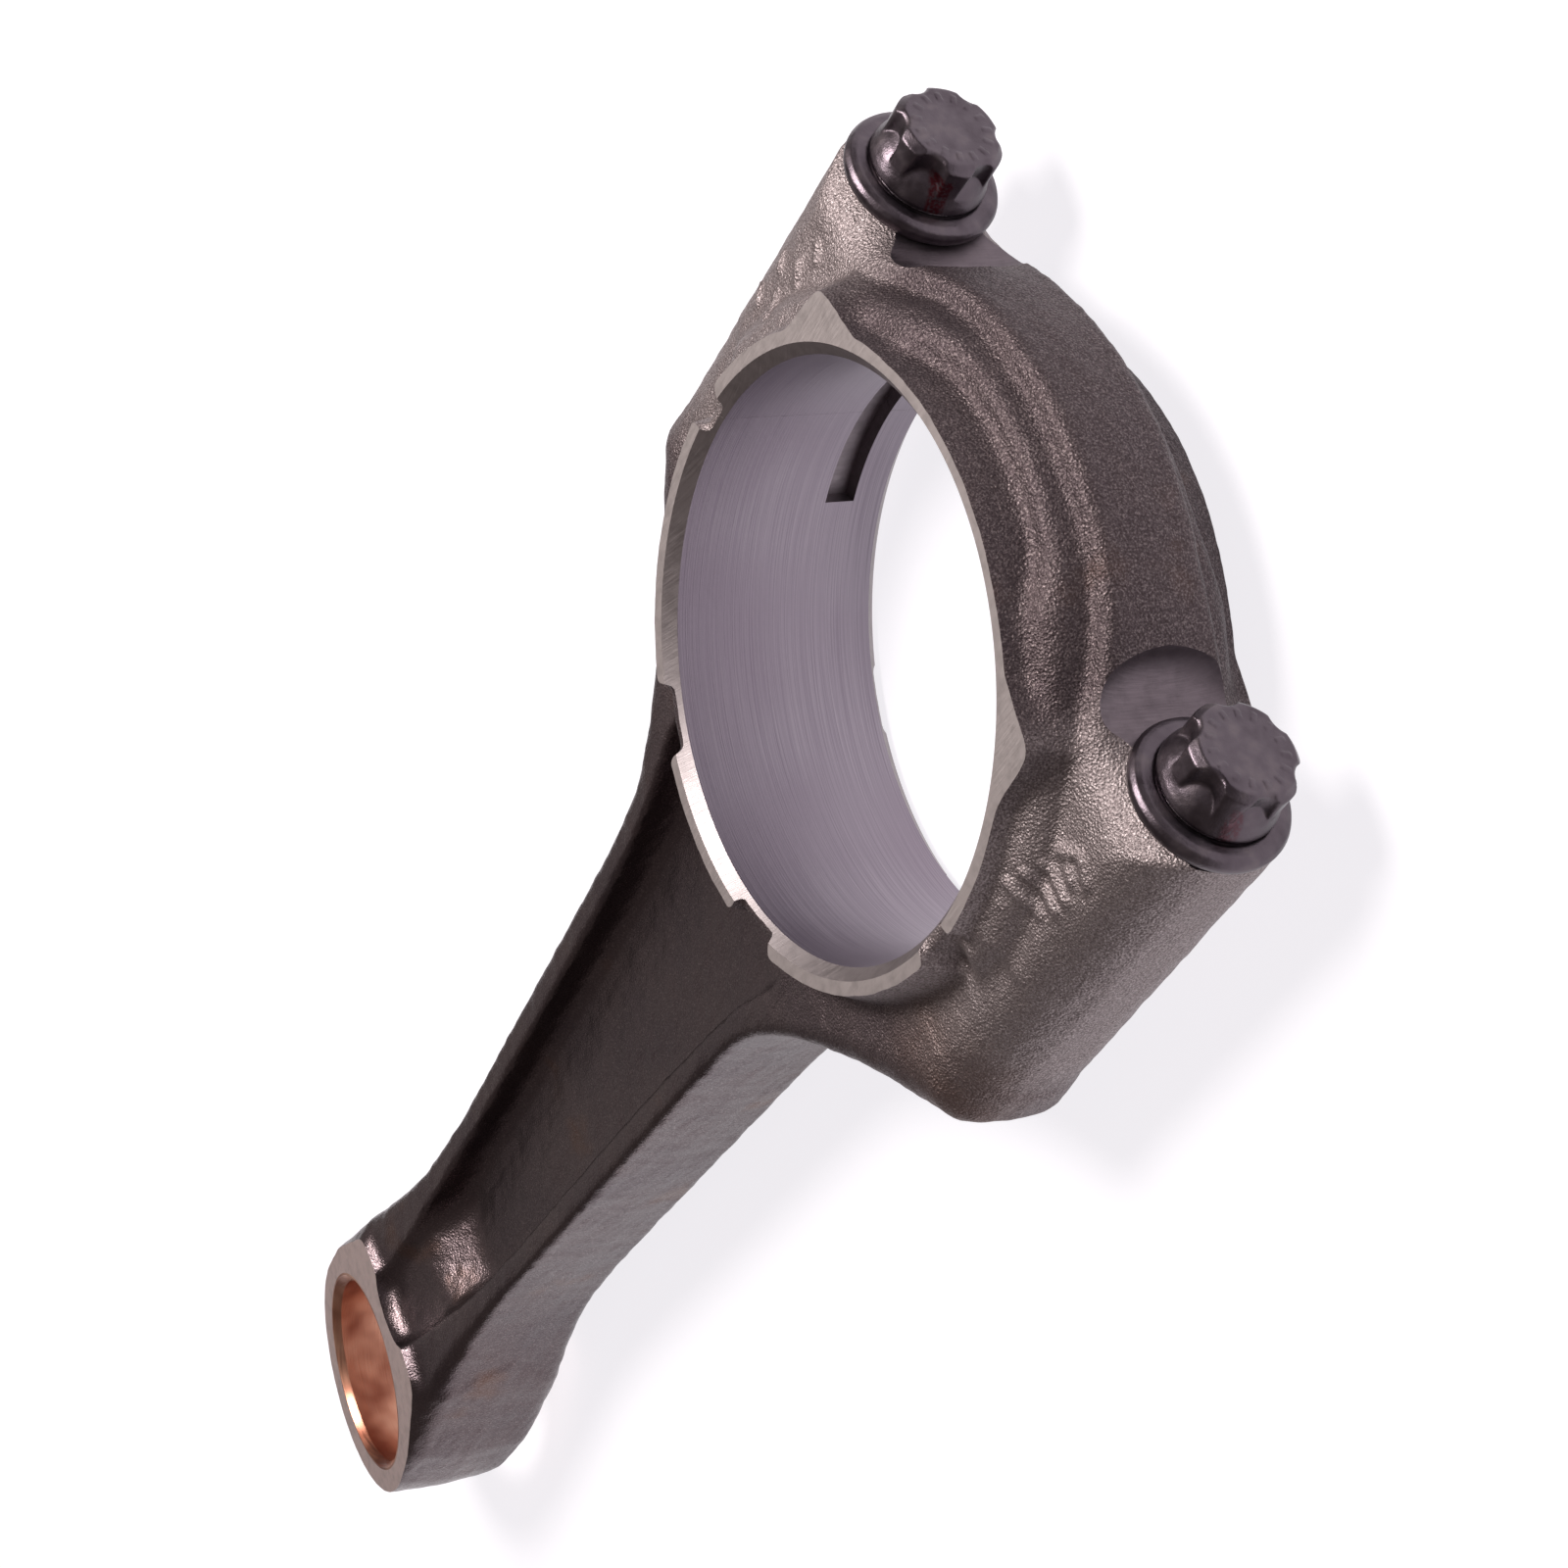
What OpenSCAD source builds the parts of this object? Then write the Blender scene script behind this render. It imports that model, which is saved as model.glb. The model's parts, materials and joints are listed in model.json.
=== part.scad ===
// Connecting rod of a small petrol engine, with its cap, pin bush and two cap bolts.
// Origin: centre of the big-end bore at mid width. +X runs to the small end, +Y across
// the bolts, +Z along the big-end bore.

/* [Big end] */
// Diameter of the bare housing bore that takes the bearing shells
bore_d = 53; // [52:0.1:54]
// Width over the two thrust faces
big_end_w = 23; // [22:0.1:24]
// Bore edge chamfer
bore_chamfer = 1.1; // [0.6:0.1:1.4]
// Width of the thrust ring around the chamfer
thrust_ring_w = 1.3; // [1:0.1:1.8]
// Radius of the cap's outer surface
cap_outer_r = 35.2; // [34.8:0.1:35.6]
// Width of the cap's outer surface at its crown
cap_crown_w = 7.4; // [7:0.1:8]
// Width of the rod across the two bolt bosses
boss_span = 77.2; // [76.6:0.1:77.6]
// Thickness of the bolt bosses
boss_t = 15.2; // [15:0.1:15.6]

/* [Beam] */
// Distance between the big-end and small-end bore centres
centre_distance = 144.4; // [143:0.1:146]
// Thickness of the beam over its rails
rail_t = 13.4; // [13:0.1:14]
// Thickness of the web between the rails
web_t = 5; // [4:0.1:6]

/* [Small end] */
// Bore of the pin bush
pin_d = 21; // [20.6:0.1:21.4]
// Wall of the pin bush
bush_wall = 1; // [0.8:0.1:1.2]
// Outside radius of the small end
small_end_r = 14.4; // [14:0.1:15]
// Thickness of the small end at the pin centre
small_end_t = 13.5; // [13.1:0.1:13.9]
// Angle of each tapered side face
taper_angle = 9; // [8:0.5:10]

/* [Cap bolts] */
// Distance between the two bolt axes
bolt_spacing = 63.6; // [63.2:0.1:64]
// Shank diameter
shank_d = 8; // [7.9:0.05:8.1]
// Radial clearance between shank and hole
shank_clearance = 0.06; // [0.03:0.01:0.1]
// Flange diameter
flange_d = 14.4; // [14:0.1:14.6]
// Height of the head over its seat
head_h = 7.5; // [7.2:0.1:7.8]

/* [Hidden] */
smooth = 96;
fine = 64;
cut = 1;
half_w = big_end_w / 2;
bore_r = bore_d / 2;
ring_r = bore_r + bore_chamfer + thrust_ring_w;
shoulder_z = boss_t / 2;
split_gap = 0.01;

// cap section outside the thrust ring
ring_foot_r = ring_r + 1.4;
ring_foot_z = shoulder_z + 0.7;
ridge_r = ring_r + 3;
ridge_z = shoulder_z;
crown_z = cap_crown_w / 2;

// thrust face ears on the cap
ear_angle = 132.4;
ear_tip_r = ring_r + 3.1;
ear_half_angle = 11;

// bolt boss
boss_half_span = boss_span / 2;
boss_round = 6.4;
boss_flat_end_x = 14.2;
boss_corner_x = 17.2;
boss_corner_y = 37.6;
shoulder_top_x = 18.9;
shoulder_top_y = 35.2;
shoulder_mid_x = 24.2;
shoulder_mid_y = 28.2;
shoulder_foot_x = 30.8;
shoulder_foot_y = 21.8;
bolt_y = bolt_spacing / 2;
seat_x = -25.3;
seat_inner_y = 19.5;
crown_join_x = -27.5;
crown_join_y = 17;
spotface_r = 12.3;
hole_r = shank_d / 2 + shank_clearance;
hole_end_x = 16.2;
hole_tip_h = 2.3;
through = 60;

// beam
beam_start_x = 20;
beam_root_x = 36.5;
beam_root_y = 17.4;
beam_bend_x = 42;
beam_bend_y = 14.9;
beam_neck_x = 50;
beam_neck_y = 13.6;
beam_mid_x = 80;
beam_mid_y = 11.6;
beam_end_x = 104;
beam_end_y = 10;
flare_start_x = 114;
flare_start_y = 10.1;
flare_x = centre_distance - 18.4;
flare_y = 11.6;
flare_end_x = centre_distance - 7;
flare_end_angle = 29;
rail_z = rail_t / 2;
rise_start_x = 106;
rise_end_z = 8.3;
web_z = web_t / 2;
pocket_start_x = 31.5;
pocket_start_y = 11.5;
pocket_neck_x = 46;
pocket_neck_y = 9.6;
pocket_end_x = 117;
pocket_end_y = 5.8;
pocket_corner = 3;

// small end
block_start_x = centre_distance - 17;
block_half_y = 10.8;
block_end_x = centre_distance - 4;
block_end_angle = 16;
small_z = small_end_t / 2;
block_z = small_z + (centre_distance - block_start_x) * tan(taper_angle);
bush_r = pin_d / 2 + bush_wall;
taper_reach = 40;
taper_margin = 2;

// shell tang notch
notch_arc = 24;
notch_depth = 1.5;
notch_z = -5.7;
notch_w = 3.1;

// bolt head, heights measured outward from the seat
flange_r = flange_d / 2;
flange_h = 1.9;
flange_edge = 0.8;
groove_r = 4.9;
cone_base_h = 2.4;
cone_base_r = 5.45;
cone_mid_h = 4.4;
cone_mid_r = 4.6;
cone_top_h = 5.7;
cone_top_r = 3.6;
cone_lip = 0.2;
lobe_count = 6;
lobe_tip_r = 5.05;
flute_r = 1.65;
flute_centre_r = 5.65;
bolt_phase_1 = 18;
bolt_phase_2 = 57;
bolt_tip_x = 13.5;
bolt_tip_chamfer = 1;
lobe_chamfer = 0.4;
under_head_gap = 0.01;

forged = [0.30, 0.27, 0.26];
steel = [0.46, 0.42, 0.43];
bronze = [0.72, 0.42, 0.28];

// Ring around the bore, full width at the thrust faces, with a steep outer wall
module thrust_ring() {
  rotate_extrude($fn = smooth * 2)
    polygon([
      [0, -half_w],
      [ring_r, -half_w],
      [ring_foot_r, -ring_foot_z],
      [ring_foot_r, ring_foot_z],
      [ring_r, half_w],
      [0, half_w]
    ]);
}

// Pointed ears that carry the thrust face out towards the bolts
module thrust_ears() {
  for (side = [-1, 1])
    linear_extrude(height = big_end_w, center = true)
      polygon([
        [0, 0],
        ring_r * [cos(ear_angle - ear_half_angle), side * sin(ear_angle - ear_half_angle)],
        ear_tip_r * [cos(ear_angle), side * sin(ear_angle)],
        ring_r * [cos(ear_angle + ear_half_angle), side * sin(ear_angle + ear_half_angle)]
      ]);
}

// Cap wall: a ring whose section narrows from the thrust faces to the outer surface
module crown_ring() {
  rotate_extrude($fn = smooth * 2)
    polygon([
      [0, -ring_foot_z],
      [ring_foot_r, -ring_foot_z],
      [ridge_r, -ridge_z],
      [cap_outer_r - 0.7, -crown_z - 1],
      [cap_outer_r, -crown_z],
      [cap_outer_r, crown_z],
      [cap_outer_r - 0.7, crown_z + 1],
      [ridge_r, ridge_z],
      [ring_foot_r, ring_foot_z],
      [0, ring_foot_z]
    ]);
}

// Outline of the big end, seen along the bore: one half and its mirror image
module big_end_plan() {
  for (side = [0, 1])
    mirror([0, side, 0])
      polygon([
        [beam_root_x, 0],
        [beam_root_x, beam_root_y],
        [shoulder_foot_x, shoulder_foot_y],
        [shoulder_mid_x, shoulder_mid_y],
        [shoulder_top_x, shoulder_top_y],
        [boss_corner_x, boss_corner_y],
        [boss_flat_end_x, boss_half_span],
        [seat_x, boss_half_span],
        [seat_x, seat_inner_y],
        [crown_join_x, crown_join_y],
        [crown_join_x, 0]
      ]);
}

// Section across both bosses, rounded at the outer edges
module boss_section() {
  for (side = [-1, 1])
    for (face = [-1, 1])
      translate([side * (boss_half_span - boss_round), face * (shoulder_z - boss_round)])
        circle(r = boss_round, $fn = fine);
  square([2 * (boss_half_span - boss_round), boss_t], center = true);
  square([boss_span, 2 * (shoulder_z - boss_round)], center = true);
}

module bosses() {
  intersection() {
    linear_extrude(height = boss_t + cut, center = true)
      big_end_plan();
    translate([seat_x - cut, 0, 0])
      rotate([90, 0, 90])
        linear_extrude(height = beam_root_x - seat_x + 2 * cut)
          boss_section();
  }
}

module beam_plan() {
  for (side = [0, 1])
    mirror([0, side, 0])
      polygon([
        [beam_start_x, 0],
        [beam_start_x, beam_root_y],
        [beam_root_x, beam_root_y],
        [beam_bend_x, beam_bend_y],
        [beam_neck_x, beam_neck_y],
        [beam_mid_x, beam_mid_y],
        [beam_end_x, beam_end_y],
        [flare_start_x, flare_start_y],
        [flare_x, flare_y],
        [flare_end_x, small_end_r * cos(flare_end_angle)],
        [flare_end_x, 0]
      ]);
}

// Long pocket between the rails, one on each face
module pocket_plan() {
  for (side = [0, 1])
    mirror([0, side, 0]) {
      translate([pocket_start_x + pocket_corner, pocket_start_y - pocket_corner])
        circle(r = pocket_corner, $fn = fine);
      translate([pocket_end_x - pocket_corner, pocket_end_y - pocket_corner])
        circle(r = pocket_corner, $fn = fine);
      polygon([
        [pocket_start_x, 0],
        [pocket_start_x, pocket_start_y - pocket_corner],
        [pocket_start_x + pocket_corner, pocket_start_y],
        [pocket_neck_x, pocket_neck_y],
        [pocket_end_x - pocket_corner, pocket_end_y],
        [pocket_end_x, pocket_end_y - pocket_corner],
        [pocket_end_x, 0]
      ]);
    }
}

module pockets() {
  for (face = [-1, 1])
    translate([0, 0, face * (web_z + block_z)])
      linear_extrude(height = 2 * block_z, center = true)
        pocket_plan();
}

// Beam, whose rails grow thicker towards the small end
module beam() {
  intersection() {
    linear_extrude(height = 2 * block_z, center = true)
      beam_plan();
    rotate([90, 0, 0])
      linear_extrude(height = boss_span, center = true)
        for (face = [0, 1])
          mirror([0, face])
            polygon([
              [0, 0],
              [0, rail_z],
              [rise_start_x, rail_z],
              [block_start_x, rise_end_z],
              [flare_end_x, rise_end_z],
              [flare_end_x, 0]
            ]);
  }
}

// Small end: a round boss with side faces that taper towards the tip
module small_end() {
  intersection() {
    linear_extrude(height = 2 * block_z, center = true) {
      translate([centre_distance, 0])
        circle(r = small_end_r, $fn = smooth);
      polygon([
        [block_start_x, -block_half_y],
        [block_end_x, -small_end_r * cos(block_end_angle)],
        [block_end_x, small_end_r * cos(block_end_angle)],
        [block_start_x, block_half_y]
      ]);
    }
    taper_wedge();
  }
}

// Space between the two tapered side planes
module taper_wedge() {
  back = centre_distance - taper_reach;
  front = centre_distance + small_end_r + taper_margin;
  back_z = small_z + taper_reach * tan(taper_angle);
  front_z = small_z - (small_end_r + taper_margin) * tan(taper_angle);
  rotate([90, 0, 0])
    linear_extrude(height = through, center = true)
      polygon([
        [back, -back_z],
        [front, -front_z],
        [front, front_z],
        [back, back_z]
      ]);
}

// Housing bore with a chamfer at each thrust face
module housing_bore() {
  rotate_extrude($fn = smooth * 2)
    polygon([
      [0, -half_w - cut],
      [bore_r + bore_chamfer + cut, -half_w - cut],
      [bore_r, -half_w + bore_chamfer],
      [bore_r, half_w - bore_chamfer],
      [bore_r + bore_chamfer + cut, half_w + cut],
      [0, half_w + cut]
    ]);
}

// Slot cut by a wheel across the joint, which locates the tang of a bearing shell
module tang_notch() {
  intersection() {
    translate([0, 0, notch_z])
      cylinder(r = bore_r + notch_depth, h = notch_w, center = true, $fn = smooth);
    translate([0, 0, notch_z - notch_w])
      linear_extrude(height = 2 * notch_w)
        polygon([
          [0, 0],
          boss_span * [-sin(notch_arc), -cos(notch_arc)],
          boss_span * [sin(notch_arc), -cos(notch_arc)]
        ]);
  }
}

// Blind hole for one bolt, from the parting face into the rod
module rod_bolt_hole(side) {
  translate([-cut, side * bolt_y, 0])
    rotate([0, 90, 0])
      cylinder(r = hole_r, h = hole_end_x + cut, $fn = fine);
  translate([hole_end_x, side * bolt_y, 0])
    rotate([0, 90, 0])
      cylinder(r1 = hole_r, r2 = 0, h = hole_tip_h, $fn = fine);
}

// Everything on the small-end side of the joint
module rod_side() {
  reach = centre_distance + through;
  translate([split_gap, -boss_span, -through])
    cube([reach, 2 * boss_span, 2 * through]);
}

// Everything on the outer side of the joint
module cap_side() {
  translate([-through - split_gap, -boss_span, -through])
    cube([through, 2 * boss_span, 2 * through]);
}

module rod() {
  color(forged)
    difference() {
      union() {
        intersection() {
          union() {
            thrust_ring();
            bosses();
          }
          rod_side();
        }
        difference() {
          union() {
            beam();
            small_end();
          }
          pockets();
        }
      }
      housing_bore();
      tang_notch();
      rod_bolt_hole(-1);
      rod_bolt_hole(1);
      translate([centre_distance, 0, 0])
        cylinder(r = bush_r, h = through, center = true, $fn = smooth);
    }
}

// Cap, from the parting face to the crown, with its bolt seats cut flat
module big_end_cap() {
  color(forged)
    difference() {
      intersection() {
        union() {
          thrust_ring();
          thrust_ears();
          crown_ring();
          bosses();
        }
        cap_side();
      }
      housing_bore();
      tang_notch();
      for (side = [-1, 1]) {
        translate([seat_x - cap_outer_r, side * bolt_y, 0])
          rotate([0, 90, 0])
            cylinder(r = spotface_r, h = cap_outer_r, $fn = smooth);
        translate([-through, side * bolt_y, 0])
          rotate([0, 90, 0])
            cylinder(r = hole_r, h = through + cut, $fn = fine);
      }
    }
}

// Pressed-in bush, cut off flush with the tapered faces
module pin_bush() {
  color(bronze)
    difference() {
      intersection() {
        translate([centre_distance, 0, 0])
          cylinder(r = bush_r, h = through, center = true, $fn = smooth);
        taper_wedge();
        translate([centre_distance, 0, 0])
          cube([through, through, 2 * block_z], center = true);
      }
      translate([centre_distance, 0, 0])
        cylinder(d = pin_d, h = through, center = true, $fn = smooth);
    }
}

// One-piece flanged bolt. The head stands outward along -X from its seat
module cap_bolt(side, phase) {
  translate([seat_x - under_head_gap, side * bolt_y, 0])
    rotate([0, -90, 0]) {
      rotate_extrude($fn = fine)
        polygon([
          [0, 0],
          [flange_r - flange_edge, 0],
          [flange_r, flange_edge],
          [flange_r, flange_h - flange_edge],
          [flange_r - flange_edge, flange_h],
          [groove_r, flange_h],
          [groove_r, cone_base_h - cone_lip],
          [cone_base_r, cone_base_h],
          [cone_mid_r, cone_mid_h],
          [cone_top_r, cone_top_h],
          [0, cone_top_h]
        ]);
      drive(phase);
      mirror([0, 0, 1])
        cylinder(d = shank_d, h = bolt_tip_x - seat_x - bolt_tip_chamfer, $fn = fine);
      translate([0, 0, seat_x - bolt_tip_x])
        cylinder(r1 = shank_d / 2 - bolt_tip_chamfer, r2 = shank_d / 2, h = bolt_tip_chamfer,
          $fn = fine);
    }
}

// Lobed drive, turned down at its outer edge
module drive(phase) {
  intersection() {
    rotate([0, 0, phase])
      linear_extrude(height = head_h)
        drive_section();
    rotate_extrude($fn = fine)
      polygon([
        [0, 0],
        [lobe_tip_r + cut, 0],
        [lobe_tip_r + cut, head_h - lobe_chamfer - cut],
        [lobe_tip_r - lobe_chamfer, head_h],
        [0, head_h]
      ]);
  }
}

// Drive profile: a round with shallow flutes between its lobes
module drive_section() {
  difference() {
    circle(r = lobe_tip_r, $fn = fine);
    for (lobe = [0 : lobe_count - 1])
      rotate(360 / lobe_count * (lobe + 0.5))
        translate([flute_centre_r, 0])
          circle(r = flute_r, $fn = fine);
  }
}

module cap_bolt_1() {
  color(steel)
    cap_bolt(-1, bolt_phase_1);
}

module cap_bolt_2() {
  color(steel)
    cap_bolt(1, bolt_phase_2);
}

rod();
big_end_cap();
pin_bush();
cap_bolt_1();
cap_bolt_2();
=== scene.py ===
"""Connecting rod: detailed pieces, materials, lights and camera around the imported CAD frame.

Shapes are worked out in millimetres along the frame's axes and turned into metres when a
mesh is made. +X runs to the small end, +Y across the bolts, +Z along the big-end bore.
"""

import json
import math

import bpy
import numpy as np
from mathutils import Matrix, Vector


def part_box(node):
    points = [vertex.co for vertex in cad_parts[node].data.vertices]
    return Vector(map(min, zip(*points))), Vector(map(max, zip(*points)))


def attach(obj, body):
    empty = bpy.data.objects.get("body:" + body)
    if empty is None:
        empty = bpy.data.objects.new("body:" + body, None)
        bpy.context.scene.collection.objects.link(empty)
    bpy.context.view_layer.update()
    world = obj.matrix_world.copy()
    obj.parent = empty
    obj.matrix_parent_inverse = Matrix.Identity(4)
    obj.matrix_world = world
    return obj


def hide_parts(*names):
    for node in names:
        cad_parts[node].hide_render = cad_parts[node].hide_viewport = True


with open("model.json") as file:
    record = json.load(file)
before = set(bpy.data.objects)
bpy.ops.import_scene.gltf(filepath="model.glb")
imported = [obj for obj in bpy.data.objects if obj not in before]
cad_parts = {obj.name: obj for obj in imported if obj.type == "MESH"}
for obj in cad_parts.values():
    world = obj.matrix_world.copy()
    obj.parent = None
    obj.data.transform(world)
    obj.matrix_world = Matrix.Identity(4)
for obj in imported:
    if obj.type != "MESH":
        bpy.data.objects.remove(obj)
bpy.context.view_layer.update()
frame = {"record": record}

MM = 0.001
MOUNTS = {mount["name"]: mount for mount in frame["record"]["mounts"]}


def node_box(node):
    """Corners of a CAD node in millimetres."""
    low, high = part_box(node)
    return np.array(low) / MM, np.array(high) / MM


ROD_HIGH = node_box("rod")[1]
CAP_LOW = node_box("big_end_cap")[0]
BUSH_LOW, BUSH_HIGH = node_box("pin_bush")
BOLT_LOW, BOLT_HIGH = node_box("cap_bolt_2")

# big end
BORE_R = MOUNTS["crankpin_bore"]["dims"]["r_mm"]
HALF_W = ROD_HIGH[2]
BORE_CHAMFER = HALF_W - MOUNTS["crankpin_bore"]["dims"]["length_mm"] / 2
RING_R = BORE_R + BORE_CHAMFER + 1.3
RING_DRAFT = 0.3
BLANK_TOP = HALF_W + 0.7
BLANK_GAP_TOP = HALF_W - 0.65
CAP_R = -CAP_LOW[0]
BOSS_SIDE = ROD_HIGH[1]
BOSS_HALF_T = 7.6
BOLT_Y = (BOLT_LOW[1] + BOLT_HIGH[1]) / 2
FLANGE_R = (BOLT_HIGH[1] - BOLT_LOW[1]) / 2
HEAD_H = 7.5
SEAT_X = BOLT_LOW[0] + HEAD_H + 0.01
BOLT_TIP_X = BOLT_HIGH[0]
SHANK_R = 4.0
HOLE_R = 4.06
HOLE_END_X = 16.2
SPOTFACE_R = 12.3
SPOTFACE_FILLET = 3.2
EAR_ANGLE = 132.4
EAR_REACH = 3.1
EAR_HALF_ANGLE = 11.8
SPLIT_GAP = 0.01

# bolt heads
BOLT_PHASE_1 = 18
BOLT_PHASE_2 = 57
LOBES = 6
LOBE_R = 5.05
FLUTE_R = 1.95
FLUTE_CENTRE_R = 5.75

# forging marks
MARK_HEIGHT = 0.34
MARK_CORE = 0.1
MARK_EDGE = 0.65

# small end
PIN_X = MOUNTS["piston_pin_bore"]["pos_m"][0] / MM
PIN_R = MOUNTS["piston_pin_bore"]["dims"]["r_mm"]
BUSH_R = (BUSH_HIGH[1] - BUSH_LOW[1]) / 2
SMALL_R = ROD_HIGH[0] - PIN_X
SMALL_HALF_T = 6.75
TAPER = math.radians(9)
BLOCK_X = PIN_X - 17
BLOCK_TOP = SMALL_HALF_T + (PIN_X - BLOCK_X) * math.tan(TAPER)
WEB_HALF_T = 2.5

# shell tang notch
NOTCH_LOW_Z = -7.25
NOTCH_HIGH_Z = -4.15
NOTCH_DEPTH = 1.5
NOTCH_ARC = 24

CELL = 0.4
BOLT_CELL = 0.13
ROUND = 288


# ---------------------------------------------------------------- distance fields


def smooth_min(a, b, width):
    """Lower of two fields, blended over a width."""
    share = np.clip(0.5 + 0.5 * (b - a) / width, 0, 1)
    return b + (a - b) * share - width * share * (1 - share)


def smooth_max(a, b, width):
    return -smooth_min(-a, -b, width)


def smooth_step(low, high, value):
    share = np.clip((value - low) / (high - low), 0, 1)
    return share * share * (3 - 2 * share)


def inside_band(value, low, high, soft):
    """One between low and high, falling to zero over a soft margin on each side."""
    return smooth_step(low - soft, low + soft, value) * (1 - smooth_step(high - soft, high + soft, value))


def outline_distance(points, x, y):
    """Signed distance to a closed outline, negative inside it."""
    nearest = np.full(np.broadcast(x, y).shape, np.inf, np.float32)
    inside = np.zeros(nearest.shape, bool)
    for (ax, ay), (bx, by) in zip(points, points[1:] + points[:1]):
        ex, ey = bx - ax, by - ay
        along = np.clip(((x - ax) * ex + (y - ay) * ey) / (ex * ex + ey * ey), 0, 1)
        gap_x = x - ax - along * ex
        gap_y = y - ay - along * ey
        nearest = np.minimum(nearest, gap_x * gap_x + gap_y * gap_y)
        if ay != by:
            crosses = ((ay > y) != (by > y)) & (x < ax + (y - ay) * ex / ey)
            inside ^= crosses
    return np.where(inside, -1, 1) * np.sqrt(nearest)


def rounded_slab(plan, height, half, edge):
    """A plan extruded to a half height, with a rounded top edge."""
    side = plan + edge
    top = height - half + edge
    corner = np.hypot(np.maximum(side, 0), np.maximum(top, 0))
    return np.minimum(np.maximum(side, top), 0) + corner - edge


def smooth_curve(points, steps=6):
    """Points along a smooth curve through a few stations."""
    path = [points[0]] + list(points) + [points[-1]]
    curve = []
    for p0, p1, p2, p3 in zip(path, path[1:], path[2:], path[3:]):
        for step in range(steps):
            t = step / steps
            curve.append(tuple(
                0.5 * (2 * b + (c - a) * t + (2 * a - 5 * b + 4 * c - d) * t * t
                       + (3 * b - a - 3 * c + d) * t ** 3)
                for a, b, c, d in zip(p0, p1, p2, p3)
            ))
    curve.append(tuple(points[-1]))
    return curve


# ---------------------------------------------------------------- the forging


def plan_outline():
    """Half outline of bosses, shoulder, beam and small end, seen along the bore."""
    start = SEAT_X - 0.9
    side = smooth_curve([
        (start, BOSS_SIDE), (0, BOSS_SIDE), (13.4, BOSS_SIDE), (16.9, 37.6), (18.9, 35.2),
        (22.2, 30.8), (25.8, 26.6), (30.8, 21.8), (36.5, 17.6), (42, 15.0), (50, 13.7),
        (65, 12.6), (80, 11.6), (95, 10.6), (105, 10.0), (113, 10.0), (120, 10.7), (127, 11.9),
        (PIN_X - 10.5, 13.0), (PIN_X - 6, 13.8), (PIN_X - 3, SMALL_R - 0.45),
    ])
    tip = [
        (PIN_X + 0.4 + (SMALL_R - 0.4) * math.cos(a), (SMALL_R - 0.4) * math.sin(a))
        for a in np.linspace(math.radians(92), 0, 24)
    ]
    return side + tip + [(PIN_X + SMALL_R, -12), (start, -12)]


def pocket_outline():
    """Half outline of the pocket between the rails, which runs out at the small end's block."""
    side = smooth_curve([
        (27, 12.9), (30, 13.9), (33, 13.9), (36.5, 12.9), (41, 11.8), (48, 10.8),
        (60, 9.6), (75, 8.6), (90, 7.7), (104, 6.9), (114, 6.1), (122, 5.3), (127, 4.6),
        (BLOCK_X + 1.7, 3.0), (BLOCK_X + 2.3, 0),
    ])
    return [(18, -12), (18, 11)] + side + [(BLOCK_X + 2.3, -12)]


def pocket_floor(x, a):
    """Height of the pocket's floor: the web, then a soft ramp and a shallow run-out."""
    ramp = smooth_step(112.5, 121.5, x + 0.06 * a * a)
    return WEB_HALF_T + 3.7 * ramp + 0.9 * smooth_step(121, BLOCK_X + 1, x)


def ring_field(r, angle, height):
    """Collar around the bore, its pointed ears and the places where it is not faced."""
    off_ear = np.sqrt((angle - EAR_ANGLE) ** 2 + 2.2)
    ear = EAR_REACH * 1.2 * np.clip(1 - off_ear / EAR_HALF_ANGLE, 0, 1) ** 1.35
    thin = 0.3 * smooth_step(140, 160, angle)
    wall = (r - RING_R + thin - ear - RING_DRAFT * (HALF_W - height)) * 0.92
    low = np.maximum(inside_band(angle, 16.8, 30.6, 0.9), inside_band(angle, 84.5, 93.5, 1.2))
    top = BLANK_TOP + (BLANK_GAP_TOP - BLANK_TOP) * low
    wall = wall + 1.1 * low
    return smooth_max(wall, height - top, 0.5)


def crown_field(x, r, angle, height):
    """Cap wall: two soft shoulders step down from the collar to the outer surface."""
    lift = smooth_step(172, 132, angle)
    inner_top = 7.5 + 1.6 * lift
    inner = rounded_slab((r - 32.8) + 0.35 * np.maximum(height - 5.2, 0), height, inner_top, 0.95)
    outer_top = 5.1 + 1.5 * smooth_step(158, 134, angle)
    outer = rounded_slab(r - CAP_R + 0.05 * height, height, outer_top, 1.3)
    crown = smooth_min(inner, outer, 0.7)
    return np.maximum(crown, x + 4)


def collar_bead(r, angle, height):
    """Raised bead that follows the collar over the bosses."""
    fade = smooth_step(82, 92, angle) * (1 - smooth_step(150, 170, angle))
    top = 5.5 + 3.9 * fade
    return rounded_slab(r - 31.9 + 0.35 * np.maximum(height - 7, 0), height, top, 1.1)


def boss_field(y, height):
    """Round-edged bar along the bolt, on each side."""
    edge = 6.4
    side = y - BOSS_SIDE + edge
    top = height - BOSS_HALF_T + edge
    corner = np.hypot(np.maximum(side, 0), np.maximum(top, 0))
    return np.minimum(np.maximum(side, top), 0) + corner - edge


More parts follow.
